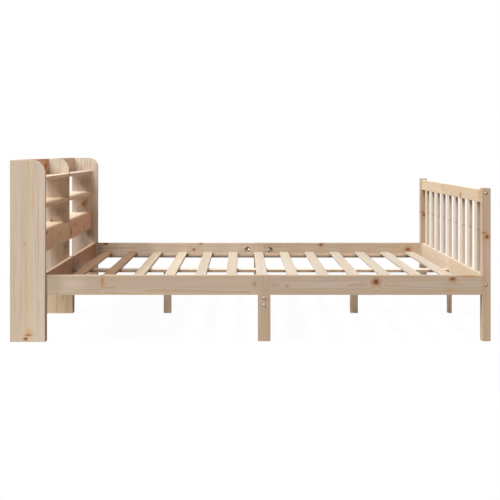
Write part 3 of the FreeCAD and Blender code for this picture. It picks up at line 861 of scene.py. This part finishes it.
def add_plan(plans, name, along, wide, tone, wood=PLAIN_WOOD, **extra):
    """Adds how a node is cut: its grain, its wide axis, its glued pieces, its marks, its painted light and
    shade, and its tone.
    """
    low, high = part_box(name)
    thick = [axis for axis in AXES if axis not in (along, wide)][0]
    wide_index, thick_index = AXES.index(wide), AXES.index(thick)
    plans[name] = {
        "along": along, "wide": wide, "edge": thick, "tone": TONES[tone],
        "wide_range": (low[wide_index], high[wide_index]),
        "thick_middle": (low[thick_index] + high[thick_index]) / 2,
        "seed": len(plans) * SEED_STEP + SEED_START,
        "strips": listed(STRIPS, name), "joints": listed(JOINTS, name),
        "tints": listed(PIECE_TINTS, name, [WHITE]), "knots": listed(KNOTS, name),
        "patches": listed(PATCHES, name), "edge_patches": listed(EDGE_LIGHT_AND_SHADE, name),
        **PLAIN_WOOD, **wood, **extra,
    }


def plan_headboard(plans):
    """The bookcase headboard and the rail and legs in front of it."""
    add_plan(plans, "head_panel_left", "Z", "X", "panel", UPRIGHT)
    add_plan(plans, "head_panel_middle", "Z", "X", "middle_panel", UPRIGHT)
    add_plan(plans, "head_panel_right", "Z", "X", "far_panel", FAR_UPRIGHT)
    add_plan(plans, "head_middle_cleats", "Z", "X", "cleat", CLEAT)
    for side in SIDES:
        for level in SHELF_LEVELS:
            name = "shelf_%s_%s" % (level, side)
            add_plan(plans, name, "Y", "X", SHELF_TONES.get(name, "pale_shelf"), SHELF)
        add_plan(plans, "head_leg_" + side, "Z", "X", "head_leg", end_tint=LEG_TOP_LIGHT)
    for name, wood in HEAD_BOARDS.items():
        add_plan(plans, name, "Y", "Z", name, wood)


def plan_sides(plans, slat_shadows):
    """The side rails with their legs and ledges, and the foot posts."""
    add_plan(plans, "side_rail_left_head", "X", "Z", "rail_head", SIDE_RAIL)
    add_plan(plans, "side_rail_left_foot", "X", "Z", "rail_foot", SIDE_RAIL)
    add_plan(plans, "side_rail_right_head", "X", "Z", "rail_head", SIDE_RAIL)
    add_plan(plans, "side_rail_right_foot", "X", "Z", "far_rail_foot", SIDE_RAIL)
    for side in SIDES:
        add_plan(plans, "slat_ledges_" + side, "X", "Y", "hidden", patches=slat_shadows)
        add_plan(plans, "mid_leg_" + side, "Z", "X", "leg", LEG)
        add_plan(plans, "foot_post_" + side, "Z", "X", "post", LEG)


def plan_middle(plans, slat_shadows):
    """The centre beam, what carries it, and the slats."""
    for end in ("head", "foot"):
        add_plan(plans, "centre_beam_" + end, "X", "Y", "beam", BEAM, edge_patches=slat_shadows)
        add_plan(plans, "centre_leg_" + end, "Z", "X", "centre_leg")
    add_plan(plans, "beam_bearers", "Y", "X", "hidden")
    add_plan(plans, "crossbar", "Y", "Z", "hidden")
    for number, tone in enumerate(SLAT_TONES, 1):
        add_plan(plans, "slat_%02d" % number, "Y", "X", tone, SLAT)


def plan_footboard(plans):
    """The footboard's rails, balusters and leg."""
    add_plan(plans, "foot_lower_rail", "Y", "Z", "foot_rail", FOOT_RAIL)
    add_plan(plans, "foot_top_rail", "Y", "Z", "foot_rail", FOOT_RAIL)
    low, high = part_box("balusters")
    step = (high.y - low.y - BALUSTER_WIDTH) / (BALUSTER_COUNT - 1)
    middles = [low.y + BALUSTER_WIDTH / 2 + step * count for count in range(BALUSTER_COUNT)]
    knots = []
    for middle in middles:
        height = BALUSTER_KNOT_HEIGHT + BALUSTER_KNOT_SWING * math.sin(middle * BALUSTER_KNOT_WAVES)
        knots.append((height, middle - BALUSTER_KNOT_OFFSET, *BALUSTER_KNOT_SHAPE))
    strips = [middle + step / 2 for middle in middles[:-1]]
    add_plan(plans, "balusters", "Z", "Y", "baluster", BALUSTER, strips=strips, knots=knots)
    add_plan(plans, "foot_centre_leg", "Z", "Y", "foot_leg")


def boards():
    """How each wooden node is cut. Their order sets their seeds."""
    # Under each slat, a painted shadow on the ledges and on the centre beam's sides
    slat_shadows = []
    for number in range(1, len(SLAT_TONES) + 1):
        low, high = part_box("slat_%02d" % number)
        slat_shadows.append(((low.x + high.x) / 2, 0.0, SLAT_SHADE_REACH, WHOLE_WIDTH, SLAT_SHADE))
    plans = {}
    plan_headboard(plans)
    plan_sides(plans, slat_shadows)
    plan_middle(plans, slat_shadows)
    plan_footboard(plans)
    add_plan(plans, "wood_dowels", "Y", "X", "leg")
    return plans


def dress_nodes(zinc):
    """Gives every node of the frame its material."""
    plans = boards()
    for name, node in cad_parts.items():
        material = pine(name, plans[name]) if name in plans else zinc
        for material_slot in node.material_slots:
            material_slot.material = material


def add_camera():
    """The photograph's view: level, along +Y, with the horizon high in the picture."""
    data = bpy.data.cameras.new("camera")
    data.lens = CAMERA_LENS
    data.sensor_width = CAMERA_SENSOR
    data.shift_x, data.shift_y = CAMERA_SHIFT
    data.clip_end = CAMERA_REACH
    camera = add_object("camera", data)
    camera.location = CAMERA_PLACE
    camera.rotation_euler = (math.pi / 2, 0.0, 0.0)
    bpy.context.scene.camera = camera


def add_lamps():
    """A key and a low light from over the headboard, and two soft lights from the near side."""
    for name, (bearing, height, strength, softness) in SUNS.items():
        data = bpy.data.lights.new(name, "SUN")
        data.energy = strength
        data.angle = math.radians(softness)
        turn, lift = math.radians(bearing), math.radians(height)
        ray = Vector((math.cos(turn) * math.cos(lift), math.sin(turn) * math.cos(lift), -math.sin(lift)))
        add_object(name, data).rotation_euler = ray.to_track_quat("-Z", "Y").to_euler()


def seen_directly(graph):
    """1 for what the camera, a mirror or glass sees, 0 for light that lands on the object."""
    rays = graph.node("LightPath", {}).node.outputs
    seen = graph.math("MAXIMUM", rays["Is Camera Ray"], rays["Is Glossy Ray"])
    return graph.math("MAXIMUM", seen, rays["Is Transmission Ray"])


def add_world():
    """White to the camera, and a soft warm light from behind for the object."""
    world = bpy.data.worlds.new("world")
    bpy.context.scene.world = world
    world.use_nodes = True
    graph = Graph(world.node_tree)
    direction = graph.split("SeparateXYZ", graph.node("TexCoord", {}, "Generated"))
    towards_foot, from_behind, _ = direction
    strength = graph.math("POWER", graph.math("MAXIMUM", from_behind, 0.0), SKY_FOCUS)
    strength = graph.math("MULTIPLY_ADD", strength, SKY_STRENGTH, SKY_LEAST)
    colour = graph.mix(graph.fade(towards_foot, *SKY_FADE), rgba(PALE_LIGHT), rgba(WARM_LIGHT))
    light = graph.node("Background", {"Color": colour, "Strength": strength})
    white = graph.node("Background", {"Color": rgba(WHITE), "Strength": 1.0})
    mixed = graph.node("MixShader", {0: seen_directly(graph), 1: light, 2: white})
    graph.node("OutputWorld", {"Surface": mixed})


def floor_material():
    """White to the camera but for a faint shadow under the bed, and pale brown to other light."""
    material, graph = new_material("floor")
    place = graph.node("TexCoord", {}, "Object")
    away = graph.vector("LENGTH", graph.vector("MULTIPLY", place, SHADOW_OVAL), output=1)
    near = graph.fade(away, *SHADOW_FADE, SHADOW_SHARE, 0.0)
    matt = graph.node("BsdfDiffuse", {"Color": rgba(WHITE)})
    glow = graph.node("Emission", {"Color": rgba(WHITE), "Strength": 1.0})
    shown = graph.node("MixShader", {0: near, 1: glow, 2: matt})
    bounce = graph.node("BsdfDiffuse", {"Color": rgba(FLOOR_BOUNCE)})
    mixed = graph.node("MixShader", {0: seen_directly(graph), 1: bounce, 2: shown})
    graph.node("OutputMaterial", {"Surface": mixed})
    return material


def add_floor():
    """A wide floor, which isn't part of the bed."""
    reach = FLOOR_REACH
    corners = [(-reach, -reach, 0.0), (reach, -reach, 0.0), (reach, reach, 0.0), (-reach, reach, 0.0)]
    mesh = bpy.data.meshes.new("floor")
    mesh.from_pydata(corners, [], [(0, 1, 2, 3)])
    mesh.materials.append(floor_material())
    floor = add_object("floor", mesh)


zinc_steel = steel("zinc_steel", ZINC_DARK, ZINC_LIGHT, BRIGHT_FINISH)
dress_nodes(zinc_steel)
add_fasteners(zinc_steel)
add_camera()
add_lamps()
add_world()
add_floor()
bpy.context.scene.view_settings.view_transform = "Standard"
